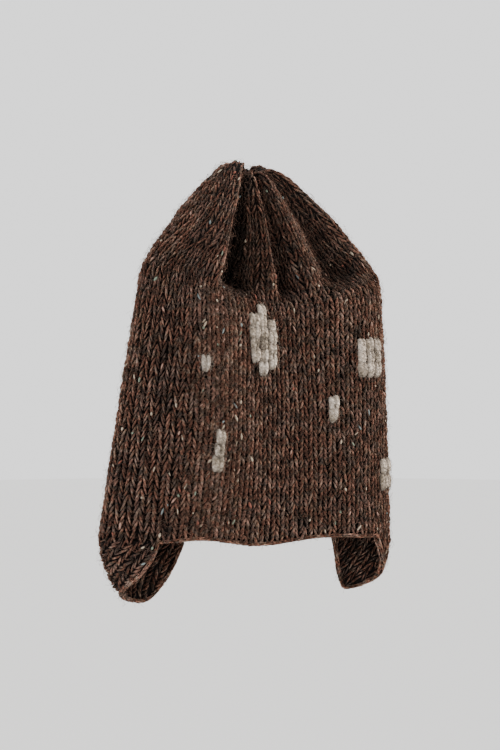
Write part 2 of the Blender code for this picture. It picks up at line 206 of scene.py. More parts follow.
# Outward direction of the body's plan
def outOf(turn, height, step=0.004):
    xBefore, yBefore = planOf(turn - step, height)
    xAfter, yAfter = planOf(turn + step, height)
    alongX, alongY = xAfter - xBefore, yAfter - yBefore
    length = np.hypot(alongX, alongY)
    return alongY / length, -alongX / length


def share(number, turn):
    return closedCurve(tableColumn(places, 0), tableColumn(places, number), turn)


def rimZ(turn):
    return hat["rimZ"] - hat["rimDip"] * share(7, turn)


def crownLineZ(turn):
    return hat["crownLineZ"] - hat["crownLineSag"] * share(8, turn)


def bodyPoint(turn, height, inset=0.0):
    turn, height = np.broadcast_arrays(np.asarray(turn, float), np.asarray(height, float))
    low, high = rimZ(turn), crownLineZ(turn)
    z = low + (high - low) * height
    over = np.clip((z - high + hat["shoulderHeight"]) / hat["shoulderHeight"], 0, 1)
    rounding = hat["shoulderInset"] * share(9, turn) * (1 - np.sqrt(1 - over**2))
    x, y = planOf(turn, height)
    outX, outY = outOf(turn, height)
    return np.stack([x - outX * (inset + rounding), y - outY * (inset + rounding), z], axis=-1)


def crownPoint(turn, way):
    turn, way = np.broadcast_arrays(np.asarray(turn, float), np.asarray(way, float))
    knots = tableColumn(crownProfile, 0)
    width, depth, rise = (openCurve(knots, tableColumn(crownProfile, n), way) for n in (1, 2, 3))
    turns = tableColumn(folds, 0)
    low, high, lift = (crests(turns, tableColumn(folds, n), turn) for n in (1, 2, 3))
    fold = (low + (high - low) * rise) * ease(np.clip(way / hat["foldRamp"], 0, 1))
    start = bodyPoint(turn, np.ones_like(turn))
    pleat = np.sin(2 * math.pi * hat["pleats"] * turn) * depth * (1 - width)
    x = hat["gatherX"] + (start[..., 0] - hat["gatherX"]) * width
    y = hat["gatherY"] + (start[..., 1] - hat["gatherY"]) * depth
    y = y + hat["foldDepth"] * fold * depth ** hat["foldFade"] + hat["pleatDepth"] * pleat
    peak = (hat["topZ"] - hat["gatherZ"]) * lift
    dip = ease(np.clip(1 - width / hat["dipReach"], 0, 1))
    z = start[..., 2] + (hat["gatherZ"] + peak - start[..., 2]) * rise - peak * dip
    return np.stack([x, y, z], axis=-1)


def flapDrop(name, turn):
    first, last, tip, length, fullness = flaps[name][:5]
    across = (turn - first) / (last - first)
    middle = (tip - first) / (last - first)
    side = np.where(across < middle, (middle - across) / middle, (across - middle) / (1 - middle))
    shape = (1 - np.clip(side, 0, 1) ** fullness) ** (1 / fullness)
    return hat["flapStep"] + (hat["flapLength"] * length - hat["flapStep"]) * shape


def flapPoint(turn, down, inset=0.0):
    turn, down = np.broadcast_arrays(np.asarray(turn, float), np.asarray(down, float))
    point = bodyPoint(turn, np.zeros_like(turn), inset)
    lean = np.where(turn < 0.5, flaps["ear_flap_left"][5], -flaps["ear_flap_right"][5])
    point[..., 0] += lean * (np.maximum(down, 0) / hat["flapLength"]) ** 2
    point[..., 2] -= down
    return point


# Stockinette in chunky yarn: 62 columns round, 43 rows up the body and 24 up the crown.
# Widths are in columns, lengths in rows and the rest in metres.
knit = {
    "columns": 62,
    "frontColumns": (14, 48),
    "bodyRows": 43,
    "crownRows": 24,
    "purlRows": 20,  # rows of the inside that can be seen from below
    "rowHeight": 0.00375,
    "flapColumn": 0.0060,
    "bodyEvenAt": 0.35,  # columns are equally wide at this height of the body
    "crownEvenAt": 0.40,  # and lean towards being so at this one of the crown
    "crownBlend": 0.60,
    "waver": 0.09,
    "ridgeColumn": 24.6,  # the cloth is most fluffed up along the front ridge
    "ridgeSpread": 2.6,
    "ridgeFluff": 0.42,
}

legYarn = {
    "rings": 6,
    "sides": 5,
    "start": 0.07,  # half the gap between the legs of a V at its foot
    "reach": 0.36,  # how far a leg leans out
    "overlap": 1.72,
    "halfWidth": 0.096,
    "halfThick": 0.00095,
    "sink": 0.0006,  # the middle of a leg below the cloth's face
    "tuck": 0.0011,  # and its ends lower still
    "jitter": 0.05,
    "mostLoose": 0.16,
    "wander": 0.00022,
    "columnLimits": (0.0024, 0.0085),
    "fullColumn": 0.0050,  # the yarn thins where columns are narrower than this
    "endSize": 0.62,  # a leg's ends, as a share of its middle
    # painted shade: a leg's ends are drawn at this share of its middle's brightness
    "endLight": 0.45,
}


def unit(v):
    return v / np.maximum(np.linalg.norm(v, axis=-1, keepdims=True), 1e-9)


def travelAlong(path):
    return np.append(0, np.cumsum(np.linalg.norm(np.diff(path, axis=0), axis=1)))


# Turns of evenly spaced columns at one height of the cloth, and the way round
def evenTurns(pointOf, at, count):
    turns = np.linspace(0, 1, 2001)
    ring = pointOf(turns, at)
    travel = travelAlong(ring)
    return np.interp(np.linspace(0, travel[-1], count + 1), travel, turns), travel[-1]


bodyTurns, bodyRound = evenTurns(bodyPoint, knit["bodyEvenAt"], knit["columns"])
crownTurns = evenTurns(crownPoint, knit["crownEvenAt"], knit["columns"])[0]
columnWidth = bodyRound / knit["columns"]
print("round the body %.0f mm, a column %.2f mm" % (bodyRound * 1000, columnWidth * 1000))


def turnOfColumn(column, turns=bodyTurns):
    whole = np.floor(column / knit["columns"])
    inside = column - whole * knit["columns"]
    return np.interp(inside, np.arange(knit["columns"] + 1), turns) + whole


def columnOfTurn(turn):
    return np.interp(turn, bodyTurns, np.arange(knit["columns"] + 1))


# Slow, small unevenness of hand knitting, from -1 to 1
def wobble(column, row):
    slow = np.sin(column * 0.61 + row * 0.23 + 1.0) * 0.5
    slow = slow + np.sin(column * 0.27 - row * 0.41 + 2.3) * 0.3
    return slow + np.sin(column * 1.7 + 5.1) * 0.2


# The small pit where the left flap's root is drawn in
dimple = {
    "column": 20.6,
    "row": 1.8,
    "depth": 0.0016,
    "spread": (0.9, 1.5),
    "shade": 0.80,
    "shadeSpread": (0.8, 1.3),
}


def dimpleShare(column, row, spread):
    across, up = (column - dimple["column"]) / spread[0], (row - dimple["row"]) / spread[1]
    return np.exp(-(across**2) - up**2)


def bodyCloth(column, row):
    column, row = np.broadcast_arrays(column, row)
    pull = dimple["depth"] * dimpleShare(column, row, dimple["spread"])
    return bodyPoint(turnOfColumn(column), row / knit["bodyRows"], pull)


# The crown's columns start under the body's and move half way towards even spacing
def crownTurn(column, way):
    low, high = turnOfColumn(column), turnOfColumn(column, crownTurns)
    return low + (high - low) * 0.5 * ease(np.clip(way / knit["crownBlend"], 0, 1))


def crownCloth(column, row):
    way = np.clip(row / knit["crownRows"], -0.05, 0.995)
    turn = crownTurn(column, way)
    point = crownPoint(turn, np.maximum(way, 0))
    point[..., 2] += np.minimum(way, 0) * knit["crownRows"] * knit["rowHeight"]
    return point


# Point of the cloth, its outward direction and the width of a column there
def faceOf(cloth, column, row, inside=False, stepAcross=0.25, stepUp=0.3):
    at = cloth(column, row)
    along = (cloth(column + stepAcross, row) - cloth(column - stepAcross, row)) / (2 * stepAcross)
    up = cloth(column, row + stepUp) - cloth(column, row - stepUp)
    out = unit(np.cross(along, up))
    return at, -out if inside else out, np.linalg.norm(along, axis=-1)


# A mesh object from numpy arrays: corners is a flat list, sizes the corners of each face
def meshOf(name, points, corners, sizes, uvs=None, values=None):
    mesh = bpy.data.meshes.new(name)
    mesh.vertices.add(len(points))
    mesh.vertices.foreach_set("co", np.asarray(points, np.float32).ravel())
    mesh.loops.add(len(corners))
    mesh.loops.foreach_set("vertex_index", np.asarray(corners, np.int32))
    mesh.polygons.add(len(sizes))
    starts = np.concatenate([[0], np.cumsum(sizes)[:-1]])
    mesh.polygons.foreach_set("loop_start", starts.astype(np.int32))
    mesh.update(calc_edges=True)
    mesh.polygons.foreach_set("use_smooth", np.ones(len(sizes), bool))
    if uvs is not None:
        layer = mesh.uv_layers.new(name="yarn")
        layer.data.foreach_set("uv", np.asarray(uvs, np.float32).ravel())
    for key, value in (values or {}).items():
        layer = mesh.attributes.new(key, "FLOAT", "POINT")
        layer.data.foreach_set("value", np.ascontiguousarray(value, np.float32))
    made = bpy.data.objects.new(name, mesh)
    bpy.context.scene.collection.objects.link(made)
    return made


# One closed strand of yarn along each row of middles. Arrays are strands x rings, and the UVs
# run along the strand, in turns of its plies, and round it.
# painted shade: the lower the value given per ring, the darker the material draws the colour
def yarnTubes(name, middles, outs, halfWidths, halfThicks, sides, tone, crest, plyLength=0.004):
    strands, rings = middles.shape[:2]
    tangents = unit(np.gradient(middles, axis=1))
    across = unit(np.cross(outs, tangents))
    ups = unit(np.cross(tangents, across))
    angles = 2 * math.pi * np.arange(sides) / sides
    wide = np.cos(angles)[None, None, :, None] * halfWidths[:, :, None, None]
    high = np.sin(angles)[None, None, :, None] * halfThicks[:, :, None, None]
    points = middles[:, :, None, :] + across[:, :, None, :] * wide + ups[:, :, None, :] * high
    index = np.arange(strands * rings * sides).reshape(strands, rings, sides)
    after = np.roll(index, -1, axis=2)
    quads = np.stack([index[:, :-1], after[:, :-1], after[:, 1:], index[:, 1:]], axis=-1)
    quads = quads.reshape(-1, 4)
    lows, tops = index[:, 0, ::-1].reshape(-1, sides), index[:, -1].reshape(-1, sides)
    corners = np.concatenate([quads.ravel(), lows.ravel(), tops.ravel()])
    sizes = np.concatenate([np.full(len(quads), 4), np.full(2 * strands, sides)])
    steps = np.linalg.norm(np.diff(middles, axis=1), axis=2)
    travel = np.concatenate([np.zeros((strands, 1)), np.cumsum(steps, axis=1)], axis=1)
    travel = travel / plyLength
    u = np.broadcast_to(travel[:, :, None], index.shape)
    v = np.broadcast_to(np.arange(sides) / sides, index.shape)
    quadU = np.stack([u[:, :-1], u[:, :-1], u[:, 1:], u[:, 1:]], axis=-1)
    vNext = v + 1 / sides
    quadV = np.stack([v[:, :-1], vNext[:, :-1], vNext[:, 1:], v[:, 1:]], axis=-1)
    uvs = [np.stack([quadU, quadV], axis=-1).reshape(-1, 2)]
    uvs.append(np.stack([u[:, 0, ::-1], v[:, 0, ::-1]], axis=-1).reshape(-1, 2))
    uvs.append(np.stack([u[:, -1], v[:, -1]], axis=-1).reshape(-1, 2))
    # painted shade: the underside of each strand is drawn darker
    upShare = 0.30 + 0.70 * (np.sin(angles) + 1) / 2  # the underside gets less light
    values = {
        "tone": np.broadcast_to(tone[:, None, None], index.shape).ravel(),
        "crest": (crest[:, :, None] * upShare[None, None, :]).ravel(),
    }
    return meshOf(name, points.reshape(-1, 3), corners, sizes, np.concatenate(uvs), values)


laid = {}  # where each piece's strands lie, for the flecks and the loose fibre


# Both legs of the stitches at these columns and rows
def knitLegs(
    name, cloth, column, row, seed,
    yarn=legYarn, proud=0.0, inside=False, fluff=None, shadow=None, span=1.0,
):
    rng = np.random.default_rng(seed)
    side = np.tile([-1.0, 1.0], len(column))
    column, row = np.repeat(column, 2), np.repeat(row, 2)
    span = np.repeat(span, 2) if np.ndim(span) else np.full(len(column), span)
    count = len(column)
    s = np.linspace(0, 1, yarn["rings"])
    bow = np.sin(math.pi * s)
    loose = rng.normal(0, yarn["jitter"], (count, 3))
    loose = np.clip(loose, -yarn["mostLoose"], yarn["mostLoose"])
    lean = side[:, None] * (yarn["start"] + yarn["reach"] * s**0.9 + loose[:, :1] * 0.8)
    c = column[:, None] + lean * span[:, None] + knit["waver"] * wobble(column, row)[:, None]
    r = row[:, None] + (s - 0.5) * yarn["overlap"] * (1 + loose[:, 1:2]) + loose[:, 2:3] * 1.5
    at, out, pitch = faceOf(cloth, c, r, inside)
    wide = np.clip(pitch * span[:, None], *yarn["columnLimits"])
    plump = 1 + (fluff(column) if fluff else np.zeros(count))[:, None]
    narrow = np.minimum(1, wide / yarn["fullColumn"])
    drop = yarn["sink"] * narrow + yarn["tuck"] * narrow * (1 - bow**0.8) - proud
    drop = drop + rng.normal(0, yarn["wander"], (count, 1)) * narrow
    middles = at - out * drop[..., None]
    taper = yarn["endSize"] + (1 - yarn["endSize"]) * bow**0.7
    halfWidths = yarn["halfWidth"] * wide * plump * taper * (1 + 2.2 * loose[:, :1])
    halfThicks = yarn["halfThick"] * narrow * taper * (1 + 1.2 * loose[:, 2:3])
    # painted shade: each leg is drawn darker towards its tucked-in ends, and darker again by the
    # shadow given
    crest = np.broadcast_to(yarn["endLight"] + (1 - yarn["endLight"]) * bow, (count, len(s)))
    if shadow:
        crest = crest * shadow(column, row)[:, None]
    tone = rng.random(count)
    made = yarnTubes(name, middles, out, halfWidths, halfThicks, yarn["sides"], tone, crest)
    laid[name] = (column, middles, out, halfThicks)
    trianglesEach = 2 * yarn["sides"] * (yarn["rings"] - 1) + 2 * (yarn["sides"] - 2)
    print(name, count, "legs,", count * trianglesEach, "triangles")
    return made


def stitchGrid(columns, rows):
    column, row = np.meshgrid(columns, rows)
    return column.ravel(), row.ravel()


def toLinear(hexColour):
    parts = [int(hexColour[i : i + 2], 16) / 255 for i in (1, 3, 5)]
    parts = [p / 12.92 if p <= 0.04045 else ((p + 0.055) / 1.055) ** 2.4 for p in parts]
    return (*parts, 1.0)


# Adds a node, sets its properties and sockets, and links its inputs
def addNode(tree, kind, settings=None, links=None):
    node = tree.nodes.new(kind)
    for key, value in (settings or {}).items():
        if isinstance(key, int) or key in node.inputs:
            node.inputs[key].default_value = value
        else:
            setattr(node, key, value)
    for key, source in (links or {}).items():
        tree.links.new(source, node.inputs[key])
    return node


def setStops(node, stops):
    ramp = node.color_ramp
    while len(ramp.elements) > 1:
        ramp.elements.remove(ramp.elements[-1])
    ramp.elements[0].position, ramp.elements[0].color = stops[0][0], toLinear(stops[0][1])
    for position, colour in stops[1:]:
        ramp.elements.new(position).color = toLinear(colour)


noisePerMm = 420  # Scale of a noise whose patches are about a millimetre long

# Woollen-spun tweed yarn, hand knitted: matt and hairy, dark brown with rust, olive and grey
# fibre blended in, so that no two strands match. What fibreMm sets is drawn coarser than real
# fibre, which is far too fine to show.
tweed = {
    "browns": (
        (0.00, "#150c08"),
        (0.28, "#38241a"),
        (0.50, "#5b4033"),
        (0.70, "#845f4e"),
        (1.00, "#b99782"),
    ),
    "heathers": (
        (0.00, "#33231a"),
        (0.36, "#553a2c"),
        (0.44, "#8a4632"),
        (0.51, "#5d5038"),
        (0.57, "#5b6460"),
        (0.63, "#96695c"),
        (1.00, "#a88a76"),
    ),
    "heatherShare": 0.30,
    "strandMm": 3.2,  # length of one blend of colour along the yarn
    "fibreMm": 0.7,
    "toneWeight": 0.42,  # strand by strand
    "strandWeight": 1.10,
    "fibreWeight": 1.40,
    "levelShift": -0.93,
    "roughness": 0.92,
    "specular": 0.12,
    "sheen": 0.16,
    "sheenRoughness": 0.6,
    "sheenTint": "#b79c8c",
    "light": 0.49,
    # painted shade: the share of full brightness drawn deepest in the gaps between strands
    "deep": 0.08,  # brightness in the gaps between strands
    "bumpMm": 0.5,
    "plyShare": 0.30,  # of the plies in the bump, against loose fibre
}


def woolMaterial(name, look):
    made = bpy.data.materials.new(name)
    made.use_nodes = True
    tree = made.node_tree
    shader = tree.nodes["Principled BSDF"]
    shader.inputs["Roughness"].default_value = look["roughness"]
    shader.inputs["Specular IOR Level"].default_value = look["specular"]
    shader.inputs["Sheen Weight"].default_value = look["sheen"]
    shader.inputs["Sheen Roughness"].default_value = look["sheenRoughness"]
    shader.inputs["Sheen Tint"].default_value = toLinear(look["sheenTint"])
    mathNode, vectorNode, noiseNode = "ShaderNodeMath", "ShaderNodeVectorMath", "ShaderNodeTexNoise"
    place = {"Vector": addNode(tree, "ShaderNodeTexCoord").outputs["Object"]}
    tone = addNode(tree, "ShaderNodeAttribute", {"attribute_name": "tone"}).outputs["Fac"]
    crest = addNode(tree, "ShaderNodeAttribute", {"attribute_name": "crest"}).outputs["Fac"]

    # brown from strand to strand and along each, from dark to light
    strandScale, fibreScale = noisePerMm / look["strandMm"], noisePerMm / look["fibreMm"]
    strand = addNode(tree, noiseNode, {"Scale": strandScale, "Detail": 2.0}, place)
    fibre = addNode(tree, noiseNode, {"Scale": fibreScale, "Detail": 1.0, "Roughness": 0.7}, place)
    start = {"operation": "MULTIPLY_ADD", 1: look["toneWeight"], 2: look["levelShift"]}
    level = addNode(tree, mathNode, start, {0: tone}).outputs[0]
    for weight, source in (("strandWeight", strand), ("fibreWeight", fibre)):
        more = {"operation": "MULTIPLY_ADD", 1: look[weight]}
        level = addNode(tree, mathNode, more, {0: source.outputs["Fac"], 2: level}).outputs[0]
    brown = addNode(tree, "ShaderNodeValToRGB", None, {"Fac": level})
    setStops(brown, look["browns"])

    # patches of the other colours in the blend
    patchNoise = {"noise_dimensions": "4D", "Scale": strandScale * 1.3, "Detail": 1.0, "W": 7.3}
    patches = addNode(tree, noiseNode, patchNoise, place)
    heather = addNode(tree, "ShaderNodeValToRGB", None, {"Fac": patches.outputs["Fac"]})
    setStops(heather, look["heathers"])
    lift = addNode(tree, mathNode, {"operation": "MULTIPLY_ADD", 1: 1.8, 2: 0.15}, {0: level})
    liftedLinks = {0: heather.outputs["Color"], "Scale": lift.outputs[0]}
    lifted = addNode(tree, vectorNode, {"operation": "SCALE"}, liftedLinks)
    mixed = {"data_type": "RGBA", "Factor": look["heatherShare"]}
    blendLinks = {6: brown.outputs["Color"], 7: lifted.outputs[0]}
    blend = addNode(tree, "ShaderNodeMix", mixed, blendLinks)

    # painted shade: the colour is drawn darker down between the strands, under them and at their ends
    depth = {"From Min": 0.15, "From Max": 0.85, "To Min": look["deep"] * look["light"]}
    depth["To Max"] = look["light"]
    shade = addNode(tree, "ShaderNodeMapRange", depth, {"Value": crest})
    shadedLinks = {0: blend.outputs[2], "Scale": shade.outputs[0]}
    shaded = addNode(tree, vectorNode, {"operation": "SCALE"}, shadedLinks)
    tree.links.new(shaded.outputs[0], shader.inputs["Base Color"])

    # the plies wind round the yarn, and loose fibre breaks them up
    uv = addNode(tree, "ShaderNodeUVMap", {"uv_map": "yarn"})
    diagonal = {"operation": "DOT_PRODUCT", 1: (1.0, 1.0, 0.0)}
    slant = addNode(tree, vectorNode, diagonal, {0: uv.outputs["UV"]})
    twoPlies = {"operation": "MULTIPLY", 1: 4 * math.pi}
    winding = addNode(tree, mathNode, twoPlies, {0: slant.outputs["Value"]})
    ply = addNode(tree, mathNode, {"operation": "SINE"}, {0: winding.outputs[0]})
    added = {"operation": "MULTIPLY_ADD", 1: look["plyShare"]}
    height = addNode(tree, mathNode, added, {0: ply.outputs[0], 2: fibre.outputs["Fac"]})
    relief = {"Strength": 0.9, "Distance": look["bumpMm"] / 1000}
    bump = addNode(tree, "ShaderNodeBump", relief, {"Height": height.outputs[0]})
    tree.links.new(bump.outputs["Normal"], shader.inputs["Normal"])
    return made


tweedWool = woolMaterial("brownTweedWool", tweed)
# The same yarn pulled tight in the bound-off chain: it catches more light, painted in as a brighter
# colour with less painted shade between the strands
paintedLitBoundWool = woolMaterial("brownTweedWoolBoundOffPaintedLight", {**tweed, "light": 1.5, "deep": 0.35})
# and on the inside and behind the stitches it lies in shade, painted in as a darker colour
paintedShadeInsideWool = woolMaterial("brownTweedWoolInsidePaintedShade", {**tweed, "light": 0.38, "sheen": 0.1})
paintedShadeBackingWool = woolMaterial("brownTweedWoolBehindPaintedShade", {**tweed, "deep": 0.05, "sheen": 0.0})
# Thick undyed wool, softly spun: matt warm grey, fuller and more even than the tweed
paleWool = woolMaterial("undyedPaleWool", {
    **tweed,
    "browns": (
        (0.00, "#6d5f49"),
        (0.30, "#a5937d"),
        (0.55, "#c2b09e"),
        (0.80, "#d2c2b2"),
        (1.00, "#e2d4c6"),
    ),
    "heathers": ((0.0, "#8d826c"), (0.45, "#b5ab9c"), (1.0, "#cfc7bd")),
    "heatherShare": 0.35,
    "strandMm": 5.0,
    "sheenTint": "#e8e2da",
    "light": 0.72,
    "deep": 0.10,
    "bumpMm": 0.8,
})
print("wool materials made")


def dress(piece, material, slotName, *nodes):
    piece.data.materials.clear()
    piece.data.materials.append(material)
    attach(piece, "root")
    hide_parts(*nodes)
    return piece


def ridgeShare(column):
    return np.exp(-(((column - knit["ridgeColumn"]) / knit["ridgeSpread"]) ** 2))


def ridgeFluff(column):
    return knit["ridgeFluff"] * ridgeShare(column)


def dimpleShadow(column, row):
    return 1 - dimple["shade"] * dimpleShare(column, row, dimple["shadeSpread"])


# The body's stitches, in a front and a back piece
bodyRows = np.linspace(0.4, knit["bodyRows"] - 0.5, knit["bodyRows"] + 1)
allColumns = np.arange(knit["columns"]) + 0.5
isFront = (allColumns > knit["frontColumns"][0]) & (allColumns < knit["frontColumns"][1])
frontGrid = stitchGrid(allColumns[isFront], bodyRows)
backGrid = stitchGrid(allColumns[~isFront], bodyRows)
frontKnit = knitLegs(
    "body_knit_front", bodyCloth, *frontGrid, 11, fluff=ridgeFluff, shadow=dimpleShadow
)
backKnit = knitLegs("body_knit_back", bodyCloth, *backGrid, 12)
dress(frontKnit, tweedWool, "brown_tweed_knit", "body")
dress(backKnit, tweedWool, "brown_tweed_knit", "body")

# The crown's columns: one is split where the cloth is stretched over the side of a fold, and
# two are worked together where it draws in towards the top. Widths are in metres.
decreases = {"rowsBetween": 2, "widest": 0.0092, "narrowest": 0.0078}
fineColumns = np.linspace(0, knit["columns"], 20 * knit["columns"] + 1)
cells = [(float(c), float(c + 1)) for c in range(knit["columns"])]
crownColumn, crownRow, crownSpan = [], [], []
for first in range(0, knit["crownRows"], decreases["rowsBetween"]):
    if first:
        ring = crownCloth(fineColumns, np.full(len(fineColumns), first + 1.0))
        ends = np.interp(cells, fineColumns, travelAlong(ring))
        arc = ends[:, 1] - ends[:, 0]
        changed, at = [], 0
        while at < len(cells):
            low, high = cells[at]
            if arc[at] > decreases["widest"]:
                changed += [(low, (low + high) / 2), ((low + high) / 2, high)]
            elif at + 1 < len(cells) and arc[at] + arc[at + 1] < decreases["narrowest"]:
                changed.append((low, cells[at + 1][1]))
                at += 1
            else:
                changed.append((low, high))
            at += 1
        cells = changed
    for stitchRow in np.arange(first, first + decreases["rowsBetween"]) + 0.4:
        crownColumn += [(low + high) / 2 for low, high in cells]
        crownRow += [stitchRow] * len(cells)
        crownSpan += [high - low for low, high in cells]
print("crown columns left at the top:", len(cells))


# Stitches down in a hollow of the crown are darker, for no light reaches the gaps between
# them, most of all in the deepest one beside the left lobe
hollow = {
    "turn": 0.436,
    "spread": 0.034,
    "more": 0.55,
    "shade": 0.68,
    "mostDepth": 1.4,
    "darkest": 0.04,
    "fadeFrom": 1.8,
    "fadeRate": 1.5,
}


def hollowShadow(column, row):
    way = row / knit["crownRows"]
    turn = crownTurn(column, way)
    depth = crests(tableColumn(folds, 0), tableColumn(folds, 1), turn)
    deepest = 1 + hollow["more"] * np.exp(-(((turn - hollow["turn"]) / hollow["spread"]) ** 2))
    fade = ease(np.clip(hollow["fadeFrom"] - way * hollow["fadeRate"], 0, 1))
    shade = hollow["shade"] * np.clip(depth, 0, hollow["mostDepth"]) * deepest * fade
    return np.maximum(hollow["darkest"], 1 - shade)


crownKnit = knitLegs(
    "crown_knit", crownCloth, np.array(crownColumn), np.array(crownRow), 13,
    shadow=hollowShadow, span=np.array(crownSpan),
)
dress(crownKnit, tweedWool, "brown_tweed_knit", "crown")

# The cloth behind the stitches, which closes the gaps between them, drawn near black as painted shade
behindCloth = {
    "around": 186,
    "up": 33,
    "depth": 0.0026,
    "crownShare": 0.32,  # at most this share of a column deep where the crown's are narrow
    "crownThickness": 0.0012,
    "crownTop": 0.985,
    "flapDepths": (0.0017, 0.0029),
    "tone": 0.3,
    # painted shade: the outer face is drawn darkest, near black, and the inner face less dark
    "crest": 0.15,
    "insidePaintedLight": 0.45,
}


# A closed wall between two grids of points
def backing(name, outer, inner, closedRound=True, innerPaintedLight=behindCloth["crest"]):
    rows, count = outer.shape[:2]
    a = np.arange(rows * count).reshape(rows, count)
    b = a + rows * count

    def strip(low, high):
        if closedRound:
            return np.stack([low, np.roll(low, -1), np.roll(high, -1), high], axis=-1)
        return np.stack([low[:-1], low[1:], high[1:], high[:-1]], axis=-1)

    faces = [strip(a[i], a[i + 1]) for i in range(rows - 1)]
    faces += [strip(b[i + 1], b[i]) for i in range(rows - 1)]
    faces += [strip(b[0], a[0]), strip(a[-1], b[-1])]
    if not closedRound:
        faces.append(np.stack([b[:-1, 0], a[:-1, 0], a[1:, 0], b[1:, 0]], axis=-1))
        faces.append(np.stack([a[:-1, -1], b[:-1, -1], b[1:, -1], a[1:, -1]], axis=-1))
    faces = np.concatenate(faces)
    points = np.concatenate([outer.reshape(-1, 3), inner.reshape(-1, 3)])
    crest = np.repeat([behindCloth["crest"], innerPaintedLight], rows * count)
    values = {"tone": np.full(len(points), behindCloth["tone"]), "crest": crest}
    uvs = np.zeros((faces.size, 2))
    return meshOf(name, points, faces.ravel(), np.full(len(faces), 4), uvs, values)


roundShares = np.linspace(0, 1, behindCloth["around"] + 1)[:-1]
roundColumns = np.linspace(0, knit["columns"], behindCloth["around"] + 1)[:-1]
upShares = np.linspace(0, 1, behindCloth["up"])[:, None]
bodyBacking = backing(
    "body_backing",
    bodyPoint(roundShares, upShares, behindCloth["depth"]),
    bodyPoint(roundShares, upShares, hat["wall"]),
    innerPaintedLight=behindCloth["insidePaintedLight"],
)
dress(bodyBacking, paintedShadeBackingWool, "brown_tweed_knit", "body")
crownRows = np.linspace(0, behindCloth["crownTop"], behindCloth["up"]) * knit["crownRows"]
crownAt, crownOut, crownPitch = faceOf(crownCloth, *stitchGrid(roundColumns, crownRows))
crownDepth = np.minimum(behindCloth["depth"], behindCloth["crownShare"] * crownPitch)[:, None]
crownInside = crownDepth + behindCloth["crownThickness"]
gridShape = (behindCloth["up"], behindCloth["around"], 3)
crownBacking = backing(
    "crown_backing",
    (crownAt - crownOut * crownDepth).reshape(gridShape),
    (crownAt - crownOut * crownInside).reshape(gridShape),
)
dress(crownBacking, paintedShadeBackingWool, "brown_tweed_knit", "crown")

# The purl side, seen through the opening: bumps that run sideways
purl = {
    "rings": 5,
    "sides": 5,
    "length": 1.15,
    "swing": 0.34,
    "jitter": 0.06,
    "halfWidth": 0.0010,
    "bow": 0.0009,
    "sink": 0.0007,
}


def purlBumps(name, column, row, seed):
    rng = np.random.default_rng(seed)
    count = len(column)
    s = np.linspace(0, 1, purl["rings"])
    c = column[:, None] + (s - 0.5) * purl["length"]
    r = row[:, None] + purl["swing"] * np.cos(2 * math.pi * s)
    r = r + rng.normal(0, purl["jitter"], (count, 1))
    turn, height = turnOfColumn(c), r / knit["bodyRows"]
    out = -np.stack([*outOf(turn, height), np.zeros(c.shape)], axis=-1)
    bow = np.sin(math.pi * s)
    middles = bodyPoint(turn, height, hat["wall"])
    middles = middles + out * (purl["bow"] * bow - purl["sink"])[None, :, None]
    width = np.full(c.shape, purl["halfWidth"]) * (0.7 + 0.3 * bow)
    # painted shade: each bump is drawn darker towards its ends
    tone, crest = rng.random(count), np.broadcast_to(0.4 + 0.6 * bow, c.shape)
    return yarnTubes(name, middles, out, width, width, purl["sides"], tone, crest)


purlGrid = stitchGrid(allColumns, np.arange(knit["purlRows"]) + 0.6)
purlSide = purlBumps("body_purl_side", *purlGrid, 15)
dress(purlSide, paintedShadeInsideWool, "brown_tweed_knit", "body")
print("cloth behind the stitches made")

# The ear flaps: each face has its own stitches, turned to the way the cloth runs there
flapKnit = {
    # in degrees
    "ear_flap_left": {"outside": 48.0, "inside": -44.0},
    "ear_flap_right": {"outside": -10.0, "inside": -24.0},
}
flapGrid = {
    "columns": 14,  # each way from the middle, as are the rows
    "rows": 20,
    "middleDown": 0.018,
    "topMargin": 0.0005,
    "rimMargin": 0.0004,
    "backingSteps": (41, 13),
}


def flapCloth(name, inset, tilt):
    first, last, tip = flaps[name][:3]
    turns = np.linspace(first - 0.03, last + 0.03, 400)
    travel = travelAlong(flapPoint(turns, 0.0, inset))
    start = np.interp(tip, turns, travel)
    cosine, sine = math.cos(math.radians(tilt)), math.sin(math.radians(tilt))

    def placeOf(column, row):
        a, b = column * knit["flapColumn"], -row * knit["rowHeight"]
        turn = np.interp(start + a * cosine - b * sine, travel, turns)
        return turn, a * sine + b * cosine + flapGrid["middleDown"]

    def cloth(column, row):
        turn, down = placeOf(column, row)
        return flapPoint(turn, down, inset)

    return cloth, placeOf


flapStitches = stitchGrid(
    np.arange(-flapGrid["columns"], flapGrid["columns"] + 1) + 0.5,
    np.arange(-flapGrid["rows"], flapGrid["rows"]) + 0.5,
)
for name in flaps:
    first, last = flaps[name][:2]
    for face, inset in (("outside", 0.0), ("inside", hat["wall"])):
        cloth, placeOf = flapCloth(name, inset, flapKnit[name][face])
        turn, down = placeOf(*flapStitches)
        drop = flapDrop(name, np.clip(turn, first + 1e-4, last - 1e-4))
        kept = (turn > first) & (turn < last)
        kept &= (down > flapGrid["topMargin"]) & (down < drop - flapGrid["rimMargin"])
        column, row = (part[kept] for part in flapStitches)
        isInside = face == "inside"
        seed = 21 + len(name)
        piece = knitLegs(f"{name}_{face}", cloth, column, row, seed, inside=isInside)
        dress(piece, paintedShadeInsideWool if isInside else tweedWool, "brown_tweed_knit", name)
    stepsAcross, stepsDown = flapGrid["backingSteps"]
    across = (1 - np.cos(np.linspace(0, math.pi, stepsAcross))) / 2
    across = first + (last - first) * across
    downs = flapDrop(name, across) * np.linspace(1.02, -0.02, stepsDown)[:, None]
    outer, inner = (flapPoint(across, downs, depth) for depth in behindCloth["flapDepths"])
    piece = backing(f"{name}_backing", outer, inner, closedRound=False)
    dress(piece, paintedShadeBackingWool, "brown_tweed_knit", name)

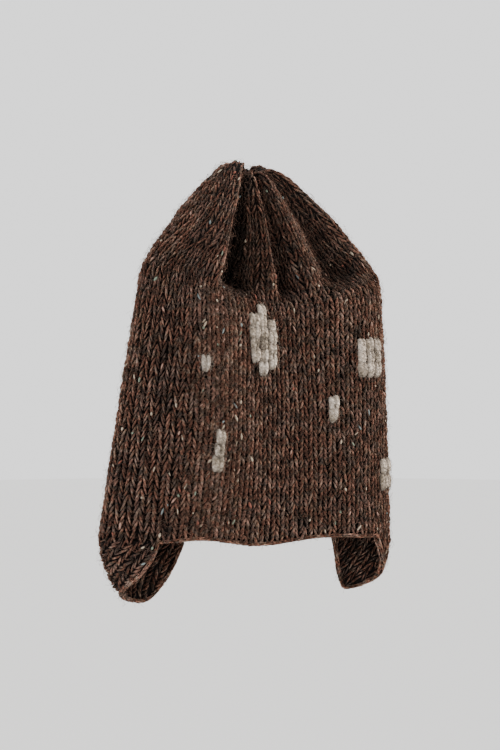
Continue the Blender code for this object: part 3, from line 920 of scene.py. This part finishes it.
# The bound-off edge: three chains of stitches lying along the rim, round a core
edge = {
    "gap": -0.0004,
    "thickness": 0.0026,
    "width": 0.0044,
    "link": 0.0040,
    "degreesPerChain": 95,
    "chainShare": 0.85,  # of the section's size
    "coreShare": 0.33,
    "coreSides": 8,
}
edgeYarn = {
    **legYarn,
    "rings": 5,
    "start": 0.05,
    "reach": 0.42,
    "overlap": 1.5,
    "halfWidth": 0.16,
    "halfThick": 0.0006,
    "sink": 0.0,
    "tuck": 0.0005,
}
edgeTurns = np.linspace(0, 1, 1601)
edgeDrops = np.zeros_like(edgeTurns)
for name in flaps:
    within = (edgeTurns > flaps[name][0]) & (edgeTurns < flaps[name][1])
    edgeDrops[within] = flapDrop(name, edgeTurns[within])
edgeTravel = travelAlong(flapPoint(edgeTurns, edgeDrops, hat["wall"] / 2))
edgeLinks = int(edgeTravel[-1] / edge["link"])
evenTravel = np.linspace(0, edgeTravel[-1], edgeLinks * 2 + 1)[:-1]
edgeTurn = np.interp(evenTravel, edgeTravel, edgeTurns)
edgeDrop = np.interp(evenTravel, edgeTravel, edgeDrops)
edgeMiddle = flapPoint(edgeTurn, edgeDrop, hat["wall"] / 2)
edgeAlong = unit(np.roll(edgeMiddle, -4, axis=0) - np.roll(edgeMiddle, 4, axis=0))
edgeOut = np.stack([*outOf(edgeTurn, 0.0), np.zeros_like(edgeTurn)], axis=-1)
edgeBelow = unit(np.cross(edgeAlong, edgeOut))
edgeMiddle = edgeMiddle + edgeBelow * (edge["gap"] + edge["thickness"] / 2)


# Columns go round the edge's section, rows along the rim
def edgeCloth(column, row):
    at = (row * 2) % len(edgeMiddle)
    low = np.floor(at).astype(int)
    past = (at - low)[..., None]
    middle, out, below = (
        v[low % len(v)] * (1 - past) + v[(low + 1) % len(v)] * past
        for v in (edgeMiddle, edgeOut, edgeBelow)
    )
    angle = (column * math.radians(edge["degreesPerChain"]))[..., None]
    sideways = out * np.sin(angle) * edge["width"] / 2 * edge["chainShare"]
    return middle + sideways + below * np.cos(angle) * edge["thickness"] / 2 * edge["chainShare"]


edgeGrid = stitchGrid(np.array([-1.0, 0.0, 1.0]), np.arange(edgeLinks) + 0.5)
edgeKnit = knitLegs("bound_edge_chain", edgeCloth, *edgeGrid, 31, edgeYarn)
dress(edgeKnit, paintedLitBoundWool, "brown_bound_off_edge", "bound_edge")
coreAngles = np.linspace(0, 2 * math.pi, edge["coreSides"] + 1)[:-1, None, None]
coreRing = (
    edgeMiddle[None, :, :]
    + edgeOut[None] * (np.sin(coreAngles) * edge["width"] * edge["coreShare"])
    + edgeBelow[None] * (np.cos(coreAngles) * edge["thickness"] * edge["coreShare"])
)
ringIndex = np.arange(edge["coreSides"] * len(edgeMiddle)).reshape(edge["coreSides"], -1)
ringNext = np.roll(ringIndex, -1, 1)
coreFaces = [ringIndex, ringNext, np.roll(ringNext, -1, 0), np.roll(ringIndex, -1, 0)]
coreFaces = np.stack(coreFaces, axis=-1).reshape(-1, 4)
# painted shade: the core is drawn near black, like the cloth behind the stitches
coreValues = {key: np.full(ringIndex.size, behindCloth[key]) for key in ("tone", "crest")}
edgeCore = meshOf(
    "bound_edge_core", coreRing.reshape(-1, 3), coreFaces.ravel(), np.full(len(coreFaces), 4),
    np.zeros((coreFaces.size, 2)), coreValues,
)
dress(edgeCore, paintedShadeBackingWool, "brown_bound_off_edge", "bound_edge")

# Pale stitches worked over the knitting in thick undyed wool
spotYarn = {
    **legYarn,
    "rings": 7,
    "sides": 8,
    "start": 0.10,
    "reach": 0.15,
    "overlap": 2.7,
    "halfWidth": 0.33,
    "halfThick": 0.0018,
    "sink": 0.0,
    "rowsEach": 2.1,  # a stitch covers about two rows
    "proud": 0.0010,
}
smallSpotYarn = {**spotYarn, "halfWidth": 0.25}
spots = {
    # columns of (turn, lowest share of the height, highest)
    "motif_large": ((0.4570, 0.745, 0.930), (0.4740, 0.700, 0.975), (0.4910, 0.725, 0.915)),
    "motif_block": ((0.6500, 0.640, 0.775), (0.6660, 0.635, 0.770), (0.6820, 0.630, 0.760)),
    "motif_short": ((0.6000, 0.475, 0.560),),
    "motif_long": ((0.3990, 0.270, 0.425),),
    "motif_small": ((0.3720, 0.650, 0.715),),
    "motif_side": ((0.6960, 0.180, 0.290), (0.7120, 0.180, 0.290)),
}
for seed, (name, columns) in enumerate(spots.items(), start=41):
    yarn = smallSpotYarn if name == "motif_small" else spotYarn
    column, row = [], []
    for turn, low, high in columns:
        low, high = low * knit["bodyRows"], high * knit["bodyRows"]
        count = max(1, round((high - low) / yarn["rowsEach"]))
        row += list(low + (high - low) * (np.arange(count) + 0.5) / count)
        column += [float(columnOfTurn(turn))] * count
    column, row = np.array(column), np.array(row)
    piece = knitLegs(f"{name}_stitches", bodyCloth, column, row, seed, yarn, proud=yarn["proud"])
    dress(piece, paleWool, "pale_yarn", name)


# Random places on the strands already laid: the strand's middle, its way, out, across and
# half its thickness. More lie along the ridge, where the cloth is fluffed up.
def placesOnYarn(rng, names, counts, ridgeMore=2.5):
    found = []
    for name, count in zip(names, counts):
        column, middles, out, halfThicks = laid[name]
        leg = rng.integers(0, len(middles), count)
        if name == "body_knit_front":
            likely = 1 + ridgeMore * ridgeShare(column)
            leg = rng.choice(len(middles), count, p=likely / likely.sum())
        ring = rng.integers(1, middles.shape[1] - 1, count)
        way = unit(middles[leg, ring + 1] - middles[leg, ring - 1])
        up = out[leg, ring]
        across = unit(np.cross(up, way))
        found.append((middles[leg, ring], way, up, across, halfThicks[leg, ring]))
    return (np.concatenate(parts) for parts in zip(*found))


knitNames = (
    "body_knit_front",
    "body_knit_back",
    "crown_knit",
    "ear_flap_left_outside",
    "ear_flap_right_outside",
)

# Neps: short slubs caught in the yarn
neps = {
    "counts": (150, 90, 70, 12, 8),  # on the pieces just named
    "length": (0.0012, 0.0046),
    "halfWidth": (0.00035, 0.00088),
    "flatness": 0.7,
    "rise": 0.75,  # of the strand's own half thickness
    "slant": 0.2,
    "rings": 5,
    "sides": 5,
    "colours": (
        (0.00, "#b9a78f"),
        (0.28, "#a98270"),
        (0.50, "#84908e"),
        (0.60, "#8a4a36"),
        (0.74, "#c2b098"),
        (0.90, "#7f8b76"),
    ),
    "roughness": 0.9,
    "fibreScale": 1400.0,
}

# Unspun dyed wool, carded in as small matt lumps: plain cream, pink, blue-grey, rust or green
nepWool = bpy.data.materials.new("flecksOfDyedWool")
nepWool.use_nodes = True
nepTree = nepWool.node_tree
nepShader = nepTree.nodes["Principled BSDF"]
nepShader.inputs["Roughness"].default_value = neps["roughness"]
nepTone = addNode(nepTree, "ShaderNodeAttribute", {"attribute_name": "tone"})
nepRamp = addNode(nepTree, "ShaderNodeValToRGB", None, {"Fac": nepTone.outputs["Fac"]})
nepRamp.color_ramp.interpolation = "CONSTANT"
setStops(nepRamp, neps["colours"])
nepPlace = {"Vector": addNode(nepTree, "ShaderNodeTexCoord").outputs["Object"]}
nepFibre = {"Scale": neps["fibreScale"], "Detail": 1.0}
nepFibre = addNode(nepTree, "ShaderNodeTexNoise", nepFibre, nepPlace)
nepLight = {"operation": "MULTIPLY_ADD", 1: 1.0, 2: 0.10}
nepLight = addNode(nepTree, "ShaderNodeMath", nepLight, {0: nepFibre.outputs["Fac"]})
nepLinks = {0: nepRamp.outputs["Color"], "Scale": nepLight.outputs[0]}
nepColour = addNode(nepTree, "ShaderNodeVectorMath", {"operation": "SCALE"}, nepLinks)
nepTree.links.new(nepColour.outputs[0], nepShader.inputs["Base Color"])

rng = np.random.default_rng(51)
at, way, out, across, thick = placesOnYarn(rng, knitNames, neps["counts"])
s = np.linspace(-0.5, 0.5, neps["rings"])
lengths = rng.uniform(*neps["length"], len(at))
way = unit(way + across * rng.normal(0, neps["slant"], (len(at), 1)))
middles = (at + out * (thick * neps["rise"])[:, None])[:, None]
middles = middles + way[:, None] * (s[None, :, None] * lengths[:, None, None])
outs = np.broadcast_to(out[:, None], middles.shape)
swell = np.sqrt(np.maximum(1 - (2 * s) ** 2, 0.06))
wide = rng.uniform(*neps["halfWidth"], len(at))[:, None] * swell
tone, crest = rng.random(len(at)), np.ones((len(at), neps["rings"]))
nepPiece = yarnTubes(
    "neps", middles, outs, wide, wide * neps["flatness"], neps["sides"], tone, crest
)
dress(nepPiece, nepWool, "brown_tweed_knit")

# The haze of loose fibre that stands off woollen yarn
haze = {
    "length": (0.0025, 0.0060),
    "rise": (0.0002, 0.0022),
    "halfWidth": 0.000055,  # coarser than a real fibre, to show
    "bend": 0.4,
    "root": 0.6,  # where a fibre starts, in the strand's half thicknesses
}
paleHaze = {**haze, "length": (0.0020, 0.0045), "rise": (0.0001, 0.0014)}
# Single fibres of the tweed's wool: lit from all sides, so paler than the yarn
hazeBrowns = ((0.0, "#3a281f"), (0.5, "#7d5b4c"), (1.0, "#b0917f"))
hazeLook = {**tweed, "browns": hazeBrowns, "deep": 1.0, "light": 0.8}
hazeWool = woolMaterial("looseWoolFibre", hazeLook)


# counts are the numbers of fibres on the pieces named
def looseFibre(name, seed, names, counts, look, material, slotName):
    rng = np.random.default_rng(seed)
    at, way, out, across, thick = placesOnYarn(rng, names, counts)
    count = len(at)
    turn = rng.uniform(-math.pi, math.pi, (count, 1))
    drift = way * np.cos(turn) + across * np.sin(turn)
    bend = across * np.cos(turn) - way * np.sin(turn)
    bend = bend * rng.normal(0, look["bend"], (count, 1))
    s = np.linspace(0, 1, 3)[None, :, None]
    lengths = rng.uniform(*look["length"], count)[:, None, None]
    rises = rng.uniform(*look["rise"], count)[:, None, None]
    start = at + out * (thick * look["root"])[:, None]
    middles = start[:, None] + out[:, None] * rises * np.sin(math.pi * 0.6 * s)
    middles = middles + (drift[:, None] * s + bend[:, None] * s**2) * lengths
    size = np.full(middles.shape[:2], look["halfWidth"])
    outs = np.broadcast_to(out[:, None], middles.shape)
    tone, crest = rng.random(count), np.ones(middles.shape[:2])
    piece = yarnTubes(name, middles, outs, size, size, 3, tone, crest)
    return dress(piece, material, slotName)


brownHaze = haze, hazeWool, "brown_tweed_knit"
restNames = knitNames[1:] + ("bound_edge_chain",)
spotNames = tuple(f"{name}_stitches" for name in spots)
spotCounts = (1100, 650, 150, 300, 120, 300)
looseFibre("loose_fibre_front", 61, knitNames[:1], (9200,), *brownHaze)
looseFibre("loose_fibre_rest", 63, restNames, (4000, 5000, 400, 350, 700), *brownHaze)
looseFibre("loose_pale_fibre", 62, spotNames, spotCounts, paleHaze, paleWool, "pale_yarn")
print("edge, pale stitches, flecks and loose fibre made")

# Camera at the photograph's angle: 28 degrees round to the hat's left, level
shot = {
    "target": (0.0188, 0.0, -0.1325),
    "azimuth": -28.0,
    "distance": 0.70,
    "focal": 1094.0,  # in pixels, on the picture's long side
    "longSide": 750,
    "sensor": 36,
}
angle = math.radians(shot["azimuth"])
backwards = Vector((math.sin(angle), -math.cos(angle), 0))
camera = bpy.data.objects.new("camera", bpy.data.cameras.new("camera"))
bpy.context.scene.collection.objects.link(camera)
camera.data.sensor_width = shot["sensor"]
camera.data.lens = shot["focal"] / shot["longSide"] * shot["sensor"]
camera.location = Vector(shot["target"]) + backwards * shot["distance"]
camera.rotation_euler = (-backwards).to_track_quat("-Z", "Y").to_euler()
camera.data.clip_start, camera.data.clip_end = 0.01, 50
bpy.context.scene.camera = camera

# A plain pale floor well below, and soft light from the right
studio = {
    "floorZ": -3.0,
    "floorSize": 60,
    "floor": "#f3f2f0",
    "floorRoughness": 0.9,
    "world": "#eeeeee",
    "worldStrength": 1.85,
    "lights": (
        # name, place, size, power, colour
        ("keyLight", (2.2, -0.40, 0.9), 0.7, 155, "#fff4ea"),
        ("fillLight", (-2.2, -0.7, 0.4), 1.4, 46, "#f2f6ff"),
    ),
}
bpy.ops.mesh.primitive_circle_add(
    vertices=96,
    radius=studio["floorSize"] / 2,
    fill_type="NGON",
    location=(0, 0, studio["floorZ"]),
)
floor = bpy.context.object
floor.name = "floor"
# Matt paper: even and pale, with no shine
paper = bpy.data.materials.new("mattPaper")
paper.use_nodes = True
paperShader = paper.node_tree.nodes["Principled BSDF"]
paperShader.inputs["Base Color"].default_value = toLinear(studio["floor"])
paperShader.inputs["Roughness"].default_value = studio["floorRoughness"]
floor.data.materials.append(paper)

world = bpy.data.worlds.new("studioWorld")
bpy.context.scene.world = world
world.use_nodes = True
background = world.node_tree.nodes["Background"]
background.inputs["Color"].default_value = toLinear(studio["world"])
background.inputs["Strength"].default_value = studio["worldStrength"]
for name, place, size, power, colour in studio["lights"]:
    light = bpy.data.lights.new(name, "AREA")
    light.size, light.energy, light.color = size, power, toLinear(colour)[:3]
    lamp = bpy.data.objects.new(name, light)
    bpy.context.scene.collection.objects.link(lamp)
    lamp.location = place
    lamp.rotation_euler = (Vector(shot["target"]) - Vector(place)).to_track_quat("-Z", "Y").to_euler()

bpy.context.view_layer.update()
pieces = [o for o in bpy.data.objects if o.type == "MESH" and o.data.uv_layers]
print("triangles", sum(len(p.vertices) - 2 for o in pieces for p in o.data.polygons))
